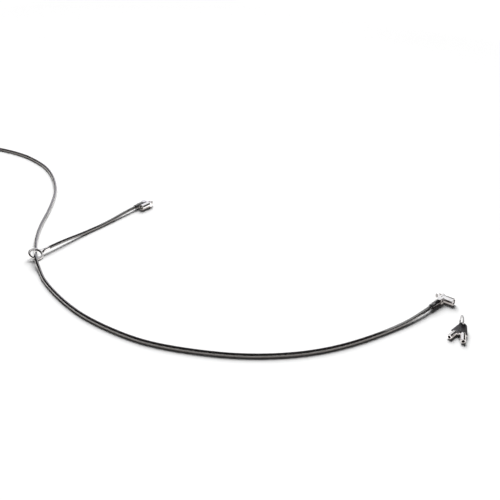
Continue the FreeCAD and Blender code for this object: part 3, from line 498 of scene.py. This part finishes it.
def joined(node):
    # a copy of a solid with its flat faces joined up
    shape = bmesh.new()
    shape.from_mesh(frame["nodes"][node].data)
    bmesh.ops.scale(shape, vec=(1 / mm,) * 3, verts=shape.verts)
    bmesh.ops.remove_doubles(shape, verts=shape.verts, dist=joinedSizes["weld"])
    bmesh.ops.dissolve_limit(shape, angle_limit=math.radians(joinedSizes["flatAngle"]), verts=shape.verts,
                             edges=shape.edges)
    return shape


def softened(node, width):
    shape = joined(node)
    roundRims(shape, width, joinedSizes["rimAngle"])
    return shape


crimpSizes = {"grooves": (-16.0, -12.0, -8.0, -4.0), "width": 2.4, "slope": 0.4, "depth": 0.4,
              "outside": 3.4, "slack": 0.01, "rim": 0.15}


def crimpedSleeve():
    # the eye's sleeve with the grooves that the crimping jaws pressed round it
    c = crimpSizes
    shape = joined("eye_sleeve")
    bmesh.ops.transform(shape, matrix=Matrix.Scale(1 / mm, 4) @ eyePlace.inverted() @ Matrix.Scale(mm, 4),
                        verts=shape.verts)
    for middle in c["grooves"]:
        for side in (-1, 1):
            for inward in (0.0, c["slope"]):
                cut = middle + side * (c["width"] / 2 - inward)
                bmesh.ops.bisect_plane(shape, geom=shape.verts[:] + shape.edges[:] + shape.faces[:],
                                       plane_co=(cut, 0, 0), plane_no=(1, 0, 0), dist=meshing["weld"])
    flat = eyeSizes["offset"]
    for vertex in shape.verts:
        spot = vertex.co
        away = min(abs(spot.x - middle) for middle in c["grooves"])
        legs = min(math.hypot(spot.y - y, spot.z) for y in (-flat, flat))
        if legs > c["outside"] and away < c["width"] / 2 - c["slope"] + c["slack"]:
            core = Vector((spot.x, max(-flat, min(flat, spot.y)), 0))
            vertex.co = spot - (spot - core).normalized() * c["depth"]
    bmesh.ops.recalc_face_normals(shape, faces=shape.faces)
    roundRims(shape, c["rim"], joinedSizes["rimAngle"])
    return shape


eyeSleeve = keepMesh("eyeSleeve", crimpedSleeve(), eyePlace, "main_cable", "crimp_aluminium", aluminium,
                     "eye_sleeve")
level = Matrix.Identity(4)
for side in ("laptop", "dock"):
    place = headPlace(side)
    cableEnd = cableEndPlace(side)
    endBody = "main_cable" if side == "laptop" else "tether"
    keepMesh(side + "Barrel", barrelShell(), place, side + "_barrel", "polished_chrome", chrome,
             side + "_barrel_shell")
    keepMesh(side + "Sleeve", keywaySleeve(), place, side + "_barrel", "inner_steel", steel,
             side + "_keyway_sleeve")
    keepMesh(side + "Collar", softened(side + "_swivel_collar", joinedSizes["collarRim"]), level,
             side + "_collar", "polished_chrome", chrome, side + "_swivel_collar")
    keepMesh(side + "Boot", cableBoot(), cableEnd, endBody, "boot_black", bootBlack, side + "_cable_boot")
print("lock heads dressed")


# ring with its neck, and the ferrule

ringSizes = {"radius": 10.0, "section": 2.0, "sides": 32, "steps": 120, "roll": 28.0,
             "neck": ((9.4, 6.2, 1.7), (13.2, 4.2, 2.2), (17.2, 2.7, 2.69)), "neckSides": 48,
             "stem": 1.3, "stemEnd": 19.5, "stemOverlap": 1.0, "voxel": 0.3, "softness": 0.5, "smoothing": 8}
ferruleSizes = {"start": 17.35, "end": 27.0, "radius": 2.9, "bore": 1.35, "solid": 5.0, "rim": 0.35}
stemAxis = Vector(joints["tether_swivel"]["axis"])
ringPlace = (Matrix.Translation(joints["tether_swivel"]["pos_m"])
             @ turned("Z", math.degrees(math.atan2(stemAxis.y, stemAxis.x))) @ turned("X", ringSizes["roll"]))


def couplingRing():
    # the round ring, the neck lofted through its sections, and the stem that the ferrule turns on
    r = ringSizes
    shape = bmesh.new()
    circle = bmesh.ops.create_circle(shape, segments=r["sides"], radius=r["section"])["verts"]
    bmesh.ops.rotate(shape, verts=circle, cent=(0, 0, 0), matrix=Matrix.Rotation(math.pi / 2, 3, "X"))
    bmesh.ops.translate(shape, verts=circle, vec=(r["radius"], 0, 0))
    bmesh.ops.spin(shape, geom=circle + shape.edges[:], cent=(0, 0, 0), axis=(0, 0, 1), angle=2 * math.pi,
                   steps=r["steps"], use_merge=True)
    before = None
    for along, across, deep in r["neck"]:
        loop = bmesh.ops.create_circle(shape, segments=r["neckSides"], radius=1.0, cap_ends=False)["verts"]
        bmesh.ops.scale(shape, vec=(across, deep, 1), verts=loop)
        bmesh.ops.rotate(shape, verts=loop, cent=(0, 0, 0), matrix=Matrix(((0, 0, 1), (1, 0, 0), (0, 1, 0))))
        bmesh.ops.translate(shape, verts=loop, vec=(along, 0, 0))
        edges = list({edge for vertex in loop for edge in vertex.link_edges})
        if before is None:
            bmesh.ops.contextual_create(shape, geom=edges)
        else:
            bmesh.ops.bridge_loops(shape, edges=before + edges)
        before = edges
    bmesh.ops.contextual_create(shape, geom=before)
    stemStart = r["neck"][-1][0] - r["stemOverlap"]
    stem = bmesh.ops.create_cone(shape, cap_ends=True, segments=r["sides"], radius1=r["stem"],
                                 radius2=r["stem"], depth=r["stemEnd"] - stemStart)["verts"]
    bmesh.ops.rotate(shape, verts=stem, cent=(0, 0, 0), matrix=Matrix.Rotation(math.pi / 2, 3, "Y"))
    bmesh.ops.translate(shape, verts=stem, vec=((r["stemEnd"] + stemStart) / 2, 0, 0))
    bmesh.ops.recalc_face_normals(shape, faces=shape.faces)
    return shape


def castTogether(name, shape, place):
    # one skin over joined forms, with cast fillets where they meet
    rough = placedPiece("rough", shape, place)
    skin = rough.modifiers.new("oneSkin", "REMESH")
    skin.mode = "VOXEL"
    skin.voxel_size = ringSizes["voxel"] * mm
    softer = rough.modifiers.new("fillets", "SMOOTH")
    softer.factor = ringSizes["softness"]
    softer.iterations = ringSizes["smoothing"]
    return linked(name, builtMesh(rough))


def ferrule():
    f = ferruleSizes
    return lathe([(f["end"] - f["solid"], 0), (f["end"] - f["solid"], f["bore"]), (f["start"], f["bore"]),
                  (f["start"], f["radius"]), (f["end"], f["radius"]), (f["end"], 0)], f["rim"])


ring = castTogether("couplingRing", couplingRing(), ringPlace)
dress(ring, "coupling_ring", "polished_chrome", chrome, "coupling_ring")
tetherFerrule = keepMesh("ringFerrule", ferrule(), ringPlace, "tether", "polished_chrome", chrome,
                         "ring_ferrule")
print("ring dressed")


# keys

keySizes = {"bowSoft": 0.3, "shankSoft": 0.15, "panelEdge": 1.1, "panelDepth": 0.35, "sameWay": 0.999,
            "bore": 2.12, "mouth": 0.5, "boreShadeWeight": 5.0}
keyAxes = {"key_one": ((63.09, -78.28, -1.7), (-0.0052, 1.0, 0.0)),
           "key_two": ((80.04, -76.19, -1.25), (-0.5023, 0.8562, 0.1212))}
splitSizes = {"centre": (60.3, -44.85), "azimuth": -50.0, "lean": 7.0, "settle": 0.35, "radius": 8.2,
              "wire": 0.45, "sides": 20, "pitch": 1.15, "start": 136.0, "turns": 1.9, "steps": 220,
              "rim": 0.15, "rimAngle": 60.0}


def splitRing():
    # a wire section swept through nearly two turns
    s = splitSizes
    shape = bmesh.new()
    section = bmesh.ops.create_circle(shape, segments=s["sides"], radius=s["wire"], cap_ends=False)["verts"]
    bmesh.ops.rotate(shape, verts=section, cent=(0, 0, 0), matrix=Matrix.Rotation(math.pi / 2, 3, "X"))
    bmesh.ops.translate(shape, verts=section, vec=(s["radius"], 0, -s["pitch"] * s["turns"] / 2))
    bmesh.ops.rotate(shape, verts=section, cent=(0, 0, 0),
                     matrix=Matrix.Rotation(math.radians(s["start"]), 3, "Z"))
    bmesh.ops.spin(shape, geom=section + shape.edges[:], cent=(0, 0, 0), axis=(0, 0, 1),
                   angle=2 * math.pi * s["turns"], steps=s["steps"],
                   dvec=(0, 0, s["pitch"] * s["turns"] / s["steps"]))
    bmesh.ops.holes_fill(shape, edges=[e for e in shape.edges if e.is_boundary])
    bmesh.ops.recalc_face_normals(shape, faces=shape.faces)
    roundRims(shape, s["rim"], s["rimAngle"])
    return shape


def splitPlace():
    s = splitSizes
    rise = s["wire"] + s["settle"] + s["radius"] * math.cos(math.radians(s["lean"]))
    middle = Vector((*s["centre"], floorHeight + rise)) * mm
    return Matrix.Translation(middle) @ turned("Z", s["azimuth"]) @ turned("X", 90 - s["lean"])


keepMesh("splitRing", splitRing(), splitPlace(), "split_ring", "spring_steel", springSteel, "split_ring")


def keyBow(key):
    # the bow's two flat sides get a sunk panel inside a rim
    shape = joined(key + "_bow")
    flat = max(shape.faces, key=lambda face: face.calc_area()).normal.copy()
    for way in (flat, -flat):
        side = [face for face in shape.faces if face.normal.dot(way) > keySizes["sameWay"]]
        bmesh.ops.inset_region(shape, faces=side, thickness=keySizes["panelEdge"],
                               depth=-keySizes["panelDepth"], use_boundary=True, use_even_offset=True)
    roundRims(shape, keySizes["bowSoft"], joinedSizes["rimAngle"])
    return shape


def keyShank(key):
    # marks the inside of the tube for painted shade, since hardly any light gets in there
    shape = softened(key + "_shank", keySizes["shankSoft"])
    start, way = Vector(keyAxes[key][0]), Vector(keyAxes[key][1]).normalized()
    mark = shape.verts.layers.float.new("boreShadeMask")
    inside = [v for v in shape.verts if (v.co - start).cross(way).length < keySizes["bore"]]
    mouth = min((v.co - start).dot(way) for v in inside)
    for vertex in inside:
        deep = (vertex.co - start).dot(way) - mouth
        vertex[mark] = keySizes["boreShadeWeight"] if deep > keySizes["mouth"] else 0.0
    return shape


for key, name in (("key_one", "keyOne"), ("key_two", "keyTwo")):
    keepMesh(name + "Bow", keyBow(key), level, key, "key_plastic", keyPlastic, key + "_bow")
    keepMesh(name + "Shank", keyShank(key), level, key, "polished_chrome", chromeWithShadedBore, key + "_shank")
print("keys dressed")


# floor and light

stageSizes = {"floor": 12.0, "floorColour": (0.97, 0.97, 0.97), "floorShine": (0.5, 0.46, 0.43),
              "floorRoughness": 0.7, "ambient": 0.05}
wallSizes = {"colour": (0.03, 0.026, 0.024), "west": -2600, "east": 1700, "south": -2400, "north": 1700,
             "top": 1500}
cards = {  # middle, size, lean back from flat, turn on the floor and brightness: flat and white by default
    "headCard": {"place": (-25, -25, 62), "size": (170, 150), "lean": 14.0},
    "headBackCard": {"place": (-140, 110, 50), "size": (200, 110), "lean": 90.0},
    "headLowCard": {"place": (30, 110, 8), "size": (140, 26), "lean": 90.0},
    # painted shadow: a dark card on the floor before the head, seen only in the metal, stands for the head's
    # shadow there
    "headShadowCard": {"place": (20, -30, -4.9), "size": (60, 40), "shade": (0.04, 0.03, 0.028)},
    "dockCard": {"place": (-600, -50, 75), "size": (150, 130)},
    "ringCard": {"place": (-554, -262, 66), "size": (50, 50)},
    # painted shadow: a dark card on the floor in the ring's hole, seen only in the metal, stands for the ring's
    # shadow there
    "ringShadowCard": {"place": (-540, -311, -5.1), "size": (20, 20), "shade": (0.01, 0.01, 0.01)},
    "westCard": {"place": (-1634, 932, 650), "size": (1400, 1250), "lean": 90.0, "turn": 41.0,
                 "shade": (0.95, 0.93, 1.0)}}
keyLight = {"heading": (0.54, -0.6, -0.57), "spread": 42.0, "strength": 5.8}


def stagePlane(name, size, place, finish):
    shape = bmesh.new()
    bmesh.ops.create_grid(shape, x_segments=1, y_segments=1, size=0.5)
    bmesh.ops.scale(shape, vec=(*size, 1), verts=shape.verts)
    bmesh.ops.transform(shape, matrix=place, verts=shape.verts)
    plane = meshPiece(name, shape)
    plane.data.materials.append(finish)
    return plane


def glowing(name, shade):
    material, _, shader = newFinish(name, Roughness=1.0)
    shader.inputs["Base Color"].default_value = (0, 0, 0, 1)
    shader.inputs["Emission Color"].default_value = (*shade, 1)
    shader.inputs["Emission Strength"].default_value = 1.0
    return material


def onlyMirrored(plane):
    # cards and walls are there for the metal to mirror, and neither seen nor shading the floor
    plane.visible_camera = False
    plane.visible_diffuse = False
    plane.visible_transmission = False
    plane.visible_shadow = False


def paleFloor():
    # matt white under the lamp, and a little brighter in the metal
    material, tree, shader = newFinish("paleFloor", Roughness=stageSizes["floorRoughness"])
    shader.inputs["Base Color"].default_value = (*stageSizes["floorColour"], 1)
    shader.inputs["Emission Color"].default_value = (*stageSizes["floorShine"], 1)
    rays = addNode(tree, "ShaderNodeLightPath")
    tree.links.new(rays.outputs["Is Glossy Ray"], shader.inputs["Emission Strength"])
    return material


def layStage():
    size = stageSizes["floor"]
    stagePlane("floor", (size, size), Matrix.Translation((0, 0, floorHeight * mm)), paleFloor())
    w = wallSizes
    dark = glowing("darkWall", w["colour"])
    wide, deep = (w["east"] - w["west"]) * mm, (w["north"] - w["south"]) * mm
    across, along, tall = (w["east"] + w["west"]) / 2, (w["north"] + w["south"]) / 2, w["top"] * mm
    upright = turned("X", 90.0)
    sideways = turned("Z", 90.0) @ upright
    for name, middle, extent, stand in (
            ("southWall", (across, w["south"], w["top"] / 2), (wide, tall), upright),
            ("northWall", (across, w["north"], w["top"] / 2), (wide, tall), upright),
            ("westWall", (w["west"], along, w["top"] / 2), (deep, tall), sideways),
            ("eastWall", (w["east"], along, w["top"] / 2), (deep, tall), sideways),
            ("ceiling", (across, along, w["top"]), (wide, deep), level)):
        onlyMirrored(stagePlane(name, extent, Matrix.Translation(Vector(middle) * mm) @ stand, dark))
    for name, c in cards.items():
        stand = turned("Z", c.get("turn", 0.0)) @ turned("X", c.get("lean", 0.0))
        shade = glowing(name, c.get("shade", (1, 1, 1)))
        place = Matrix.Translation(Vector(c["place"]) * mm)
        onlyMirrored(stagePlane(name, [side * mm for side in c["size"]], place @ stand, shade))


def hangKeyLight():
    data = bpy.data.lights.new("keyLight", "SUN")
    data.angle = math.radians(keyLight["spread"])
    data.energy = keyLight["strength"]
    lamp = linked("keyLight", data)
    lamp.rotation_euler = Vector(keyLight["heading"]).to_track_quat("-Z", "Y").to_euler()
    lamp.visible_glossy = False


def lightWorld():
    # faint light all round on the object, and white for the camera, metal and clear pieces
    world = bpy.data.worlds.new("studio")
    bpy.context.scene.world = world
    world.use_nodes = True
    tree = world.node_tree
    rays = addNode(tree, "ShaderNodeLightPath")
    seen = rays.outputs["Is Camera Ray"]
    for kind in ("Is Glossy Ray", "Is Transmission Ray"):
        seen = addNode(tree, "ShaderNodeMath", [(0, seen), (1, rays.outputs[kind])],
                       operation="MAXIMUM").outputs[0]
    strength = between(tree, seen, stageSizes["ambient"], 1.0, 0.0, 1.0)
    background = tree.nodes["Background"]
    background.inputs["Color"].default_value = (1, 1, 1, 1)
    tree.links.new(strength, background.inputs["Strength"])


layStage()
hangKeyLight()
lightWorld()
bpy.context.scene.view_settings.view_transform = "Standard"
# the chrome's mirrored surroundings would fill its own contact shadows
bpy.context.scene.cycles.caustics_reflective = False
print("stage lit")
